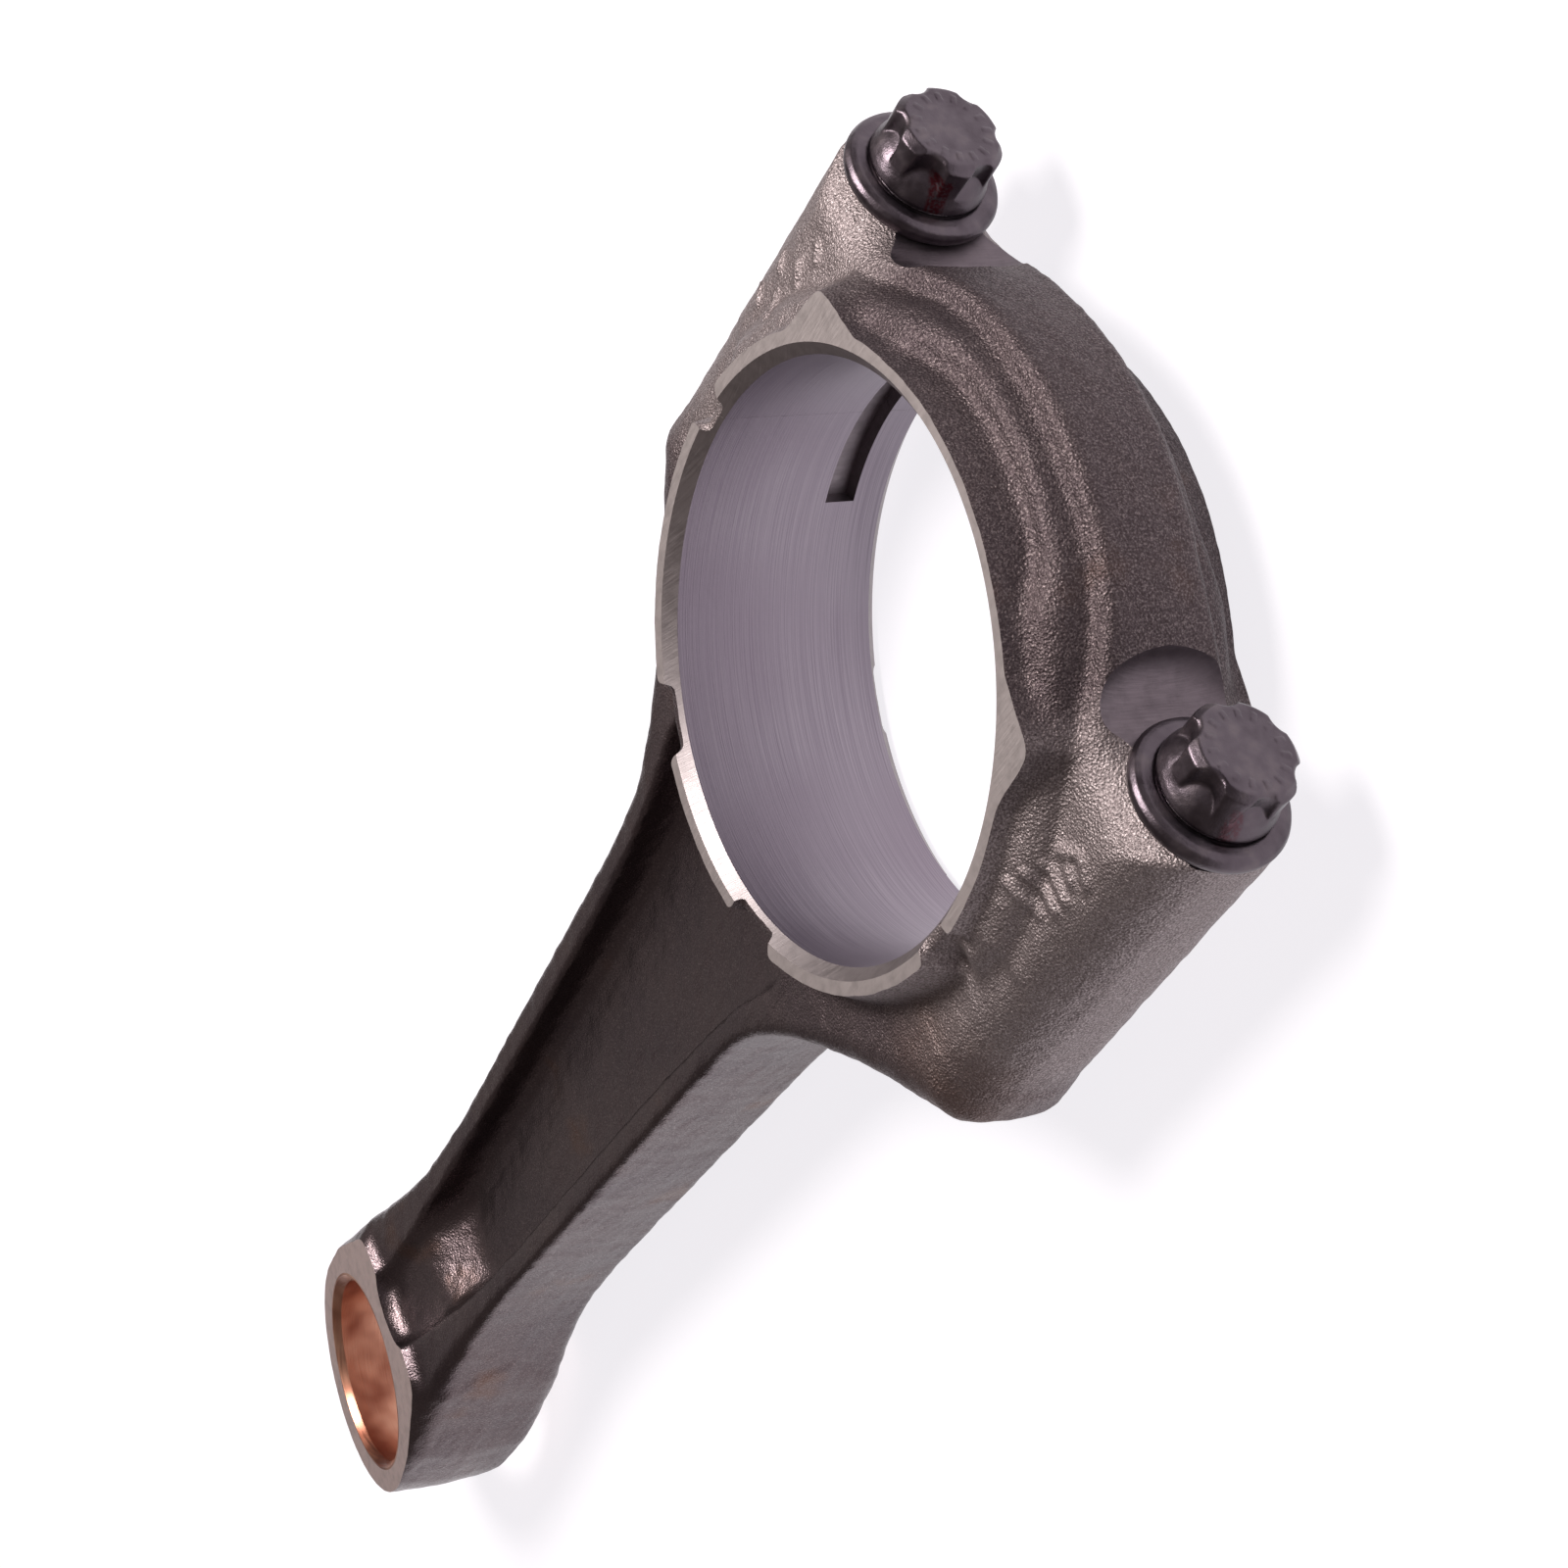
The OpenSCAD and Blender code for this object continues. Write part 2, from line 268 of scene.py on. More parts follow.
def mark_field(x, y, z):
    """Raised forging marks on the front of both bosses: plain bars and pips."""
    nearest = np.full(np.broadcast(x, y, z).shape, 9.0, np.float32)
    for ax, ay, bx, by in (
        (-9.9, 28.6, -9.8, 32.0), (-11.9, 29.2, -11.7, 32.9), (-13.6, 29.6, -13.3, 33.0),
        (-15.6, 29.5, -17.6, 31.3), (-17.6, 31.3, -16.3, 33.4), (-15.4, 31.3, -15.0, 32.4),
        (-18.8, -30.8, -17.9, -29.8), (-15.5, -31.5, -14.1, -30.1), (-11.0, -31.7, -9.6, -30.4),
        (-8.7, -34.6, -7.9, -33.4), (-13.3, -34.3, -12.4, -33.2),
    ):
        ex, ey = bx - ax, by - ay
        along = np.clip(((x - ax) * ex + (y - ay) * ey) / (ex * ex + ey * ey), 0, 1)
        gap = np.hypot(x - ax - along * ex, y - ay - along * ey)
        nearest = np.minimum(nearest, gap)
    return nearest


def forging_field(x, y, z, plan, pocket):
    """Signed distance to the forged blank, before any machining."""
    a = np.abs(y)
    height = np.abs(z)
    r = np.hypot(x, a)
    angle = np.degrees(np.arctan2(a, x))

    draft = 0.05 * height
    rail_top = np.interp(
        x, [30, 38, 50, 100, 112, 120, BLOCK_X - 1.2], [BOSS_HALF_T, 7.4, 6.8, 6.5, 6.9, 7.6, 8.3]
    )
    edge = np.interp(x, [12, 22, 30, 40, 48, 105, BLOCK_X], [6.2, 3.2, 1.9, 1.1, 0.9, 0.9, 2.0])
    body = rounded_slab(plan + draft, height, rail_top, edge)

    block_wall = (BLOCK_X - 0.6 + 0.035 * (a - 5) ** 2 - x) * 0.8 + 0.6 * (height - rail_top)
    block = rounded_slab(plan + draft, height, BLOCK_TOP + 0.5, 4.5)
    body = smooth_min(body, smooth_max(block, block_wall, 0.8), 0.9)

    floor = pocket_floor(x, a)
    well = smooth_max(pocket + 0.12 * (rail_top - height), floor - height + 0.02 * np.abs(a - 4), 2.4)
    body = smooth_max(body, -well, 0.4)
    body = smooth_max(body, boss_field(a, height) - 0.8 * np.maximum(x - 11, 0), 0.6)

    crown = crown_field(x, r, angle, height)
    body = smooth_min(body, crown, 2.6)
    body = smooth_min(body, np.maximum(collar_bead(r, angle, height), x - 3), 1.6)
    return smooth_min(body, ring_field(r, angle, height), 1.1)


def grid_axes(low, high, cell):
    return [np.arange(a, b + cell, cell, dtype=np.float32) for a, b in zip(low, high)]


CORNERS = np.array([(i, j, k) for i in (0, 1) for j in (0, 1) for k in (0, 1)])
EDGES = [
    (a, b) for a in range(8) for b in range(a + 1, 8)
    if np.abs(CORNERS[a] - CORNERS[b]).sum() == 1
]


def surface_net(field, low, cell):
    """Vertices and quads of the field's zero surface, one vertex in each crossed cell."""
    inside = field < 0
    cells = np.array(field.shape) - 1
    views = [
        inside[i:i + cells[0], j:j + cells[1], k:k + cells[2]] for i, j, k in CORNERS
    ]
    count = sum(view.astype(np.uint8) for view in views)
    active = np.argwhere((count > 0) & (count < 8))
    values = np.stack([field[tuple((active + corner).T)] for corner in CORNERS], 1)
    total = np.zeros((len(active), 3))
    hits = np.zeros(len(active))
    for a, b in EDGES:
        crossed = (values[:, a] < 0) != (values[:, b] < 0)
        share = np.where(crossed, values[:, a] / np.where(crossed, values[:, a] - values[:, b], 1), 0)
        point = CORNERS[a] + share[:, None] * (CORNERS[b] - CORNERS[a])
        total += np.where(crossed[:, None], point, 0)
        hits += crossed
    vertices = (active + total / hits[:, None]) * cell + np.array(low)
    index = np.full(cells, -1, np.int32)
    index[tuple(active.T)] = np.arange(len(active))
    quads = []
    for axis in range(3):
        u, v = (axis + 1) % 3, (axis + 2) % 3
        first = [slice(None)] * 3
        second = [slice(None)] * 3
        first[axis], second[axis] = slice(None, -1), slice(1, None)
        first[u] = second[u] = slice(1, -1)
        first[v] = second[v] = slice(1, -1)
        start = inside[tuple(first)]
        crossing = np.argwhere(start != inside[tuple(second)])
        outward = start[tuple(crossing.T)]
        base = crossing.copy()
        base[:, u] += 1
        base[:, v] += 1
        corners = []
        for du, dv in ((-1, -1), (0, -1), (0, 0), (-1, 0)):
            cell_at = base.copy()
            cell_at[:, u] += du
            cell_at[:, v] += dv
            corners.append(index[tuple(cell_at.T)])
        ring = np.stack(corners, 1)
        ring[~outward] = ring[~outward][:, ::-1]
        quads.append(ring)
    return vertices, np.concatenate(quads)


# ---------------------------------------------------------------- meshes


def mesh_object(name, vertices, faces, materials=(), face_materials=None):
    """A Blender object from millimetre vertices and faces."""
    mesh = bpy.data.meshes.new(name)
    scaled = (np.asarray(vertices, float) * MM).tolist()
    mesh.from_pydata(scaled, [], [list(map(int, face)) for face in faces])
    for material in materials:
        mesh.materials.append(material)
    if face_materials is not None:
        mesh.polygons.foreach_set("material_index", np.asarray(face_materials, np.int32))
    mesh.update()
    piece = bpy.data.objects.new(name, mesh)
    bpy.context.scene.collection.objects.link(piece)
    return piece


def ripple(points, seed, shortest, longest, waves=14):
    """Gentle random swell over the points, of about unit size."""
    rng = np.random.default_rng(seed)
    total = np.zeros(len(points))
    for _ in range(waves):
        direction = rng.normal(size=3)
        direction /= np.linalg.norm(direction)
        length = rng.uniform(shortest, longest)
        total += np.sin(points @ direction * (2 * math.pi / length) + rng.uniform(0, 2 * math.pi))
    return total / math.sqrt(waves)


def forging_piece(material):
    """The whole forged blank, rod and cap in one, with its uneven blasted skin."""
    low = np.array([CAP_LOW[0] - 1.3, -BOSS_SIDE - 1.2, -BLANK_TOP - 1.0])
    high = np.array([ROD_HIGH[0] + 1.2, BOSS_SIDE + 1.2, BLANK_TOP + 1.0])
    xs, ys, zs = grid_axes(low, high, CELL)
    plan_x, plan_y = np.meshgrid(xs, np.abs(ys), indexing="ij")
    plan = outline_distance(plan_outline(), plan_x, plan_y)[:, :, None]
    pocket = outline_distance(pocket_outline(), plan_x, plan_y)[:, :, None]
    x = xs[:, None, None]
    y = ys[None, :, None]
    z = zs[None, None, :]
    field = forging_field(x, y, z, plan, pocket)
    vertices, quads = surface_net(field, low, CELL)
    piece = mesh_object("forging", vertices, quads, [material])
    raise_skin(piece, vertices)
    return piece


def raise_skin(piece, points):
    """Moves the forged skin along its normals: a slight swell, and the forging marks."""
    mesh = piece.data
    normals = np.zeros(len(points) * 3)
    mesh.vertices.foreach_get("normal", normals)
    normals = normals.reshape(-1, 3)
    swell = 0.035 * ripple(points, 5, 2.2, 6.0) + 0.02 * ripple(points, 6, 0.9, 1.6)
    near = mark_field(points[:, 0], points[:, 1], points[:, 2])
    front = (normals[:, 2] > 0.4) * (points[:, 2] > 4)
    raised = MARK_HEIGHT * (1 - smooth_step(MARK_CORE, MARK_EDGE, near)) * front
    moved = points + normals * (swell - 0.02 + raised)[:, None]
    mesh.vertices.foreach_set("co", (moved * MM).ravel())
    mesh.update()


def revolved(name, profile, material_of, materials, place=Matrix.Identity(4), segments=ROUND):
    """Closed solid of revolution about Z through (radius, height, material) stations."""
    vertices = []
    rings = []
    for radius, height in profile:
        if radius == 0:
            rings.append([len(vertices)])
            vertices.append((0, 0, height))
            continue
        rings.append(list(range(len(vertices), len(vertices) + segments)))
        for step in range(segments):
            turn = 2 * math.pi * step / segments
            vertices.append((radius * math.cos(turn), radius * math.sin(turn), height))
    faces = []
    tags = []
    for lower, upper, tag in zip(rings, rings[1:], material_of):
        for step in range(segments):
            after = (step + 1) % segments
            if len(lower) == 1:
                face = (lower[0], upper[after], upper[step])
            elif len(upper) == 1:
                face = (lower[step], lower[after], upper[0])
            else:
                face = (lower[step], lower[after], upper[after], upper[step])
            faces.append(face)
            tags.append(tag)
    turned = [tuple(place @ Vector(v)) for v in vertices]
    return mesh_object(name, turned, faces, materials, tags)


def prism(name, outline, low, high, materials, place=Matrix.Identity(4)):
    """An outline in XY extruded from low to high, with all faces in one material."""
    count = len(outline)
    vertices = [(x, y, low) for x, y in outline] + [(x, y, high) for x, y in outline]
    faces = [list(range(count))[::-1], list(range(count, 2 * count))]
    for step in range(count):
        after = (step + 1) % count
        faces.append((step, after, count + after, count + step))
    turned = [tuple(place @ Vector(v)) for v in vertices]
    return mesh_object(name, turned, faces, materials, [0] * len(faces))


def block(name, low, high, material, place=Matrix.Identity(4)):
    outline = [(low[0], low[1]), (high[0], low[1]), (high[0], high[1]), (low[0], high[1])]
    return prism(name, outline, low[2], high[2], [material], place)


def cut(piece, tool, operation="DIFFERENCE"):
    """Machines one piece with another, keeping the tool's finish on the new faces."""
    modifier = piece.modifiers.new("cut", "BOOLEAN")
    modifier.operation = operation
    modifier.object = tool
    modifier.solver = "MANIFOLD"
    if hasattr(modifier, "material_mode"):
        modifier.material_mode = "TRANSFER"
    bpy.context.view_layer.update()
    graph = bpy.context.evaluated_depsgraph_get()
    result = bpy.data.meshes.new_from_object(piece.evaluated_get(graph))
    piece.modifiers.clear()
    old = piece.data
    piece.data = result
    bpy.data.meshes.remove(old)
    bpy.data.objects.remove(tool)


def copy_piece(piece, name):
    twin = bpy.data.objects.new(name, piece.data.copy())
    bpy.context.scene.collection.objects.link(twin)
    return twin


def shade(piece, angle=32):
    """Smooth faces with crisp edges where finishes meet or machined faces turn sharply."""
    mesh = piece.data
    loops = len(mesh.loops)
    edge_of = np.zeros(loops, np.int32)
    mesh.loops.foreach_get("edge_index", edge_of)
    totals = np.zeros(len(mesh.polygons), np.int32)
    mesh.polygons.foreach_get("loop_total", totals)
    tags = np.zeros(len(mesh.polygons), np.int32)
    mesh.polygons.foreach_get("material_index", tags)
    normals = np.zeros(len(mesh.polygons) * 3)
    mesh.polygons.foreach_get("normal", normals)
    normals = normals.reshape(-1, 3)
    face_of = np.repeat(np.arange(len(totals)), totals)
    order = np.argsort(edge_of, kind="stable")
    pair = order[: loops // 2 * 2].reshape(-1, 2)
    one, two = face_of[pair[:, 0]], face_of[pair[:, 1]]
    turn = np.sum(normals[one] * normals[two], 1)
    machined = (tags[one] > 0) & (tags[two] > 0)
    sharp = (tags[one] != tags[two]) | (machined & (turn < math.cos(math.radians(angle))))
    flags = np.zeros(len(mesh.edges), bool)
    flags[edge_of[pair[:, 0]]] = sharp
    mesh.polygons.foreach_set("use_smooth", np.ones(len(mesh.polygons), bool))
    layer = mesh.attributes.get("sharp_edge") or mesh.attributes.new("sharp_edge", "BOOLEAN", "EDGE")
    layer.data.foreach_set("value", flags)
    mesh.update()


# ---------------------------------------------------------------- machining


def bore_tool(bore, face):
    wall = HALF_W - BORE_CHAMFER
    reach = BORE_CHAMFER + 2
    profile = [
        (0, -HALF_W - 2), (BORE_R + reach, -HALF_W - 2), (BORE_R, -wall),
        (BORE_R, wall), (BORE_R + reach, HALF_W + 2), (0, HALF_W + 2),
    ]
    return revolved("bore_tool", profile, [1, 1, 0, 1, 1], [bore, face])


def notch_tool(material):
    arc = [math.radians(-90 + step) for step in np.linspace(-NOTCH_ARC, NOTCH_ARC, 25)]
    outer = BORE_R + NOTCH_DEPTH
    inner = BORE_R - 1.5
    outline = [(inner * math.cos(a), inner * math.sin(a)) for a in arc][::-1]
    outline = [(outer * math.cos(a), outer * math.sin(a)) for a in arc] + outline
    return prism("notch_tool", outline, NOTCH_LOW_Z, NOTCH_HIGH_Z, [material])


def seat_tool(side, material):
    """Counterbore for one bolt seat, with a soft fillet at its foot."""
    fillet = SPOTFACE_FILLET
    turn = [
        (SPOTFACE_R - fillet + fillet * math.sin(a), fillet - fillet * math.cos(a))
        for a in np.linspace(0, math.pi / 2, 13)
    ]
    profile = [(0, 0)] + turn + [(SPOTFACE_R + 0.3, 16), (0, 16)]
    place = Matrix.Translation((SEAT_X, side * BOLT_Y, 0)) @ Matrix.Rotation(math.radians(-90), 4, "Y")
    return revolved("seat_tool", profile, [0] * (len(profile) - 1), [material], place, 144)


def hole_tool(side, material):
    profile = [(0, 0), (HOLE_R, 0), (HOLE_R, 50 + HOLE_END_X), (0, 52.3 + HOLE_END_X)]
    place = Matrix.Translation((-50, side * BOLT_Y, 0)) @ Matrix.Rotation(math.radians(90), 4, "Y")
    return revolved("hole_tool", profile, [0, 0, 0], [material], place, 72)


def face_tool(side, material):
    low, high = sorted((side * HALF_W, side * (HALF_W + 6)))
    return block("face_tool", (-45, -45, low), (45, 45, high), material)


def taper_tool(side, material):
    """Block above one tapered side of the small end."""
    place = Matrix.Translation((PIN_X, 0, side * SMALL_HALF_T)) @ Matrix.Rotation(side * TAPER, 4, "Y")
    low, high = sorted((0, side * 20))
    return block("taper_tool", (-40, -30, low), (30, 30, high), material, place)


def machined_forging(looks):
    piece = forging_piece(looks["forged"])
    for side in (-1, 1):
        cut(piece, face_tool(side, looks["faced"]))
        cut(piece, taper_tool(side, looks["taper"]))
        cut(piece, seat_tool(side, looks["seat"]))
        cut(piece, hole_tool(side, looks["hole"]))
    cut(piece, bore_tool(looks["bore"], looks["chamfer"]))
    cut(piece, notch_tool(looks["notch"]))
    profile = [(0, -30), (BUSH_R, -30), (BUSH_R, 30), (0, 30)]
    place = Matrix.Translation((PIN_X, 0, 0))
    cut(piece, revolved("pin_tool", profile, [0, 0, 0], [looks["hole"]], place, 144))
    return piece


def rod_and_cap(looks):
    whole = machined_forging(looks)
    cap = copy_piece(whole, "cap_forging")
    whole.name = "rod_forging"
    cut(whole, block("split_tool", (-60, -60, -30), (SPLIT_GAP, 60, 30), looks["fracture"]))
    cut(cap, block("split_tool", (-SPLIT_GAP, -60, -30), (220, 60, 30), looks["fracture"]))
    for piece in (whole, cap):
        shade(piece)
    return whole, cap


# ---------------------------------------------------------------- bush


def bush_top(x):
    """Height of the small end's side face over a point."""
    return SMALL_HALF_T - (x - PIN_X) * math.tan(TAPER)


def bush_piece(material, segments=144):
    """Thin bush, flush with the side faces, with a lead-in chamfer at each end."""
    chamfer = 0.75
    vertices = []
    for step in range(segments):
        turn = 2 * math.pi * step / segments
        c, s = math.cos(turn), math.sin(turn)
        section = []
        for radius, drop in (
            (BUSH_R, 0.0), (PIN_R + chamfer, 0.0), (PIN_R + 0.12, chamfer - 0.1), (PIN_R, chamfer + 0.1),
        ):
            section.append((radius, bush_top(PIN_X + radius * c) - drop))
        mirrored = [(radius, -top) for radius, top in reversed(section)]
        for radius, height in section + mirrored:
            vertices.append((PIN_X + radius * c, radius * s, height))
    count = 8
    faces = []
    for step in range(segments):
        after = (step + 1) % segments
        for k in range(count):
            nxt = (k + 1) % count
            faces.append((step * count + k, after * count + k, after * count + nxt, step * count + nxt))
    piece = mesh_object("pin_bush_shell", vertices, [face[::-1] for face in faces], [material])
    shade_plain(piece, 25)
    return piece


def shade_plain(piece, angle):
    mesh = piece.data
    mesh.polygons.foreach_set("use_smooth", np.ones(len(mesh.polygons), bool))
    mesh.set_sharp_from_angle(angle=math.radians(angle))


# ---------------------------------------------------------------- bolts


def head_profile():
    """Half section of the bolt's round parts, as (radius, height over the seat)."""
    return [
        (0, 0), (FLANGE_R - 0.7, 0), (FLANGE_R - 0.2, 0.22), (FLANGE_R, 0.75), (FLANGE_R, 1.15),
        (FLANGE_R - 0.25, 1.62), (FLANGE_R - 0.8, 1.88), (5.5, 1.95), (4.95, 1.72), (4.85, 2.05),
        (5.4, 2.28), (5.48, 2.5), (5.38, 3.0), (5.1, 3.8), (4.68, 4.5), (4.1, 5.2), (3.4, 5.7), (0, 5.9),
    ]


def rim_ticks(v, w):
    """Height of plain raised ticks spaced around the head's top."""
    radius = np.hypot(v, w)
    turn = np.degrees(np.arctan2(w, v))
    step = 24
    off = np.abs(np.mod(turn, step) - step / 2) / 180 * math.pi * radius
    return 0.1 * smooth_step(0.34, 0.16, off) * inside_band(radius, 2.9, 3.8, 0.12)


def drive_field(v, w, u):
    """Six broad lobes with concave flutes between them, turned down at the outer edge."""
    radius = np.hypot(v, w)
    turn = np.arctan2(w, v)
    sector = 2 * math.pi / LOBES
    local = np.mod(turn, sector) - sector / 2
    flute_x = radius * np.cos(local) - FLUTE_CENTRE_R - 0.5 * smooth_step(3.6, HEAD_H + 0.2, u)
    flute_y = radius * np.sin(local)
    flute = FLUTE_R - np.hypot(flute_x, flute_y)
    star = smooth_max(radius - LOBE_R, flute, 0.3)
    top = u - HEAD_H - rim_ticks(v, w)
    bevel = (star + top + 0.3) * 0.707
    turned = (radius - LOBE_R + top + 0.7) * 0.707
    return np.maximum(np.maximum(smooth_max(star, top, 0.12), bevel), turned)


def thread_field(v, w, u):
    """Plain shank that ends in a right-hand thread."""
    radius = np.hypot(v, w)
    turn = np.arctan2(w, v)
    tip = SEAT_X - BOLT_TIP_X
    start = SEAT_X + 1.5
    phase = np.abs(np.mod(u + turn / (2 * math.pi), 1.0) - 0.5) * 2
    depth = 0.62 * np.clip(phase * 1.25 - 0.12, 0, 1)
    cut_in = smooth_step(start + 0.6, start - 0.6, u)
    barrel = (radius - SHANK_R + 0.03 + depth * cut_in) * 0.8
    lead = (radius - SHANK_R - (u - tip) + 1.1) * 0.707
    return np.maximum(np.maximum(barrel, lead), np.maximum(tip - u, u - 0.5))


def bolt_mesh():
    """Vertices and quads of one bolt about its own axis, +Z away from the seat."""
    reach = FLANGE_R + 0.5
    low = np.array([-reach, -reach, SEAT_X - BOLT_TIP_X - 0.5])
    high = np.array([reach, reach, HEAD_H + 0.5])
    xs, ys, zs = grid_axes(low, high, BOLT_CELL)
    v = xs[:, None, None]
    w = ys[None, :, None]
    u = zs[None, None, :]
    head_on = u > -1.0
    field = np.broadcast_to(thread_field(v, w, u), (len(xs), len(ys), len(zs))).copy()
    first = int(np.argmax(head_on.ravel()))
    u_head = u[:, :, first:]
    radius = np.broadcast_to(np.hypot(v, w), (len(xs), len(ys), 1))
    section = [(-0.001, -0.0)] + head_profile()[1:] + [(-3, 6.7), (-3, 0)]
    flat_r = np.linspace(0, reach * 1.42, 160, dtype=np.float32)
    table = outline_distance(section, flat_r[:, None], zs[None, first:])
    at = np.clip(radius[:, :, 0] / flat_r[1], 0, len(flat_r) - 1.001)
    base = at.astype(int)
    share = (at - base)[:, :, None]
    round_part = table[base] * (1 - share) + table[base + 1] * share
    head = smooth_min(round_part, np.maximum(drive_field(v, w, u_head), 2.2 - u_head), 0.16)
    field[:, :, first:] = np.minimum(field[:, :, first:], head)
    return surface_net(field, low, BOLT_CELL)


def bolt_piece(name, shape, side, phase, material):
    vertices, quads = shape
    place = Matrix.Translation((SEAT_X - SPLIT_GAP, side * BOLT_Y, 0))
    place = place @ Matrix.Rotation(math.radians(-90), 4, "Y") @ Matrix.Rotation(math.radians(phase), 4, "Z")
    turn = np.array(place.to_3x3())
    moved = vertices @ turn.T + np.array(place.translation)
    piece = mesh_object(name, moved, quads, [material])
    shade_plain(piece, 50)
    return piece


# ---------------------------------------------------------------- materials


class Look:
    """Short helper for one node material, with coordinates in millimetres."""

    def __init__(self, name, colour, metallic, roughness):
        self.material = bpy.data.materials.new(name)
        self.material.use_nodes = True
        self.nodes = self.material.node_tree.nodes
        self.links = self.material.node_tree.links
        self.shader = self.nodes["Principled BSDF"]
        self.shader.inputs["Base Color"].default_value = (*colour, 1)
        self.shader.inputs["Metallic"].default_value = metallic
        self.shader.inputs["Roughness"].default_value = roughness
        coordinates = self.nodes.new("ShaderNodeTexCoord")
        scale = self.nodes.new("ShaderNodeVectorMath")
        scale.operation = "SCALE"
        scale.inputs["Scale"].default_value = 1 / MM
        self.links.new(coordinates.outputs["Object"], scale.inputs[0])
        self.place = scale.outputs[0]

    def stretched(self, scale, turn=(0, 0, 0)):
        mapping = self.nodes.new("ShaderNodeMapping")
        mapping.inputs["Scale"].default_value = scale
        mapping.inputs["Rotation"].default_value = turn
        self.links.new(self.place, mapping.inputs["Vector"])
        return mapping.outputs[0]

    def noise(self, scale, detail=2.0, rough=0.5, vector=None):
        node = self.nodes.new("ShaderNodeTexNoise")
        node.inputs["Scale"].default_value = scale
        node.inputs["Detail"].default_value = detail
        node.inputs["Roughness"].default_value = rough
        self.links.new(vector or self.place, node.inputs["Vector"])
        return node.outputs["Fac"]

    def cells(self, scale):
        node = self.nodes.new("ShaderNodeTexVoronoi")
        node.inputs["Scale"].default_value = scale
        self.links.new(self.place, node.inputs["Vector"])
        return node.outputs["Distance"]

    def span(self, value, low, high, to_low, to_high):
        node = self.nodes.new("ShaderNodeMapRange")
        node.inputs["From Min"].default_value = low
        node.inputs["From Max"].default_value = high
        node.inputs["To Min"].default_value = to_low
        node.inputs["To Max"].default_value = to_high
        self.links.new(value, node.inputs["Value"])
        return node.outputs["Result"]

    def math(self, operation, a, b):
        node = self.nodes.new("ShaderNodeMath")
        node.operation = operation
        for socket, value in zip(node.inputs, (a, b)):
            if isinstance(value, (int, float)):
                socket.default_value = value
            else:
                self.links.new(value, socket)
        return node.outputs[0]

    def ramp(self, value, stops):
        node = self.nodes.new("ShaderNodeValToRGB")
        node.color_ramp.elements[0].position = stops[0][0]
        node.color_ramp.elements[0].color = (*stops[0][1], 1)
        node.color_ramp.elements[1].position = stops[-1][0]
        node.color_ramp.elements[1].color = (*stops[-1][1], 1)
        for position, colour in stops[1:-1]:
            element = node.color_ramp.elements.new(position)
            element.color = (*colour, 1)
        self.links.new(value, node.inputs["Fac"])
        return node.outputs["Color"]

    def mix(self, share, a, b):
        node = self.nodes.new("ShaderNodeMix")
        node.data_type = "RGBA"
        self.links.new(share, node.inputs["Factor"])
        for socket, value in ((node.inputs[6], a), (node.inputs[7], b)):
            if isinstance(value, tuple):
                socket.default_value = (*value, 1)
            else:
                self.links.new(value, socket)
        return node.outputs[2]

    def bump(self, height, depth, strength=1.0):
        node = self.nodes.new("ShaderNodeBump")
        node.inputs["Strength"].default_value = strength
        node.inputs["Distance"].default_value = depth * MM
        self.links.new(height, node.inputs["Height"])
        if self.shader.inputs["Normal"].is_linked:
            self.links.new(self.shader.inputs["Normal"].links[0].from_socket, node.inputs["Normal"])
        self.links.new(node.outputs[0], self.shader.inputs["Normal"])

    def patch(self, low, high, soft):
        """One inside a box between two points, falling off softly at its sides."""
        split = self.nodes.new("ShaderNodeSeparateXYZ")
        self.links.new(self.place, split.inputs[0])
        share = 1.0
        for axis, start, end in zip("XYZ", low, high):
            middle, half = (start + end) / 2, abs(end - start) / 2
            gap = self.math("ABSOLUTE", self.math("SUBTRACT", split.outputs[axis], middle), 0.0)
            share = self.math("MULTIPLY", self.span(gap, half, half - soft, 0.0, 1.0), share)
        return share

    def colour(self, socket):
        self.links.new(socket, self.shader.inputs["Base Color"])

    def roughness(self, socket):
        self.links.new(socket, self.shader.inputs["Roughness"])


